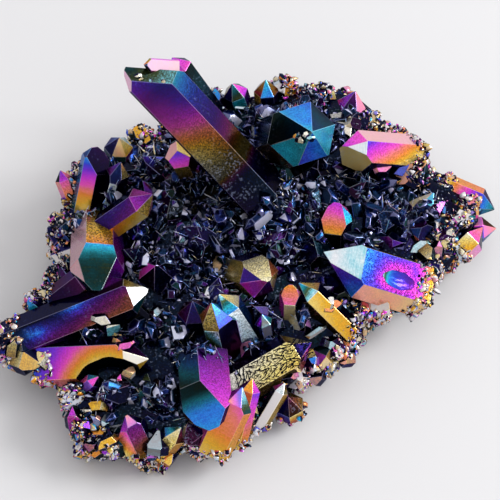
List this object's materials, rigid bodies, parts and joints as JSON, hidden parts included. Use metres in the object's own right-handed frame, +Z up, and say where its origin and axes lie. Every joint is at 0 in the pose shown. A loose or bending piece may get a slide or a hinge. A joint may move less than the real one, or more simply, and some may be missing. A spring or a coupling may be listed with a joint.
{
  "type": "aura quartz crystal cluster",
  "caption": "Palm-sized cluster of quartz points on a slab of quartz matrix, with a rainbow metal coat; it rests on a flat cut base.",
  "frame": {"origin": "on the flat cut base, under the middle of the slab", "axes": "+X runs to the long pointed end of the slab, -Y is the front that faces the viewer, +Z is up from the cut base"},
  "size_m": [0.1087, 0.092, 0.0501],
  "materials": {
    "rainbow_metal_coat": "quartz under a thin vapour-deposited metal film, glossy, with bands of gold, magenta, violet, blue and teal over near-black faces"
  },
  "bodies": {
    "root": {"crystal_cluster": "rainbow_metal_coat"}
  },
  "joints": []
}
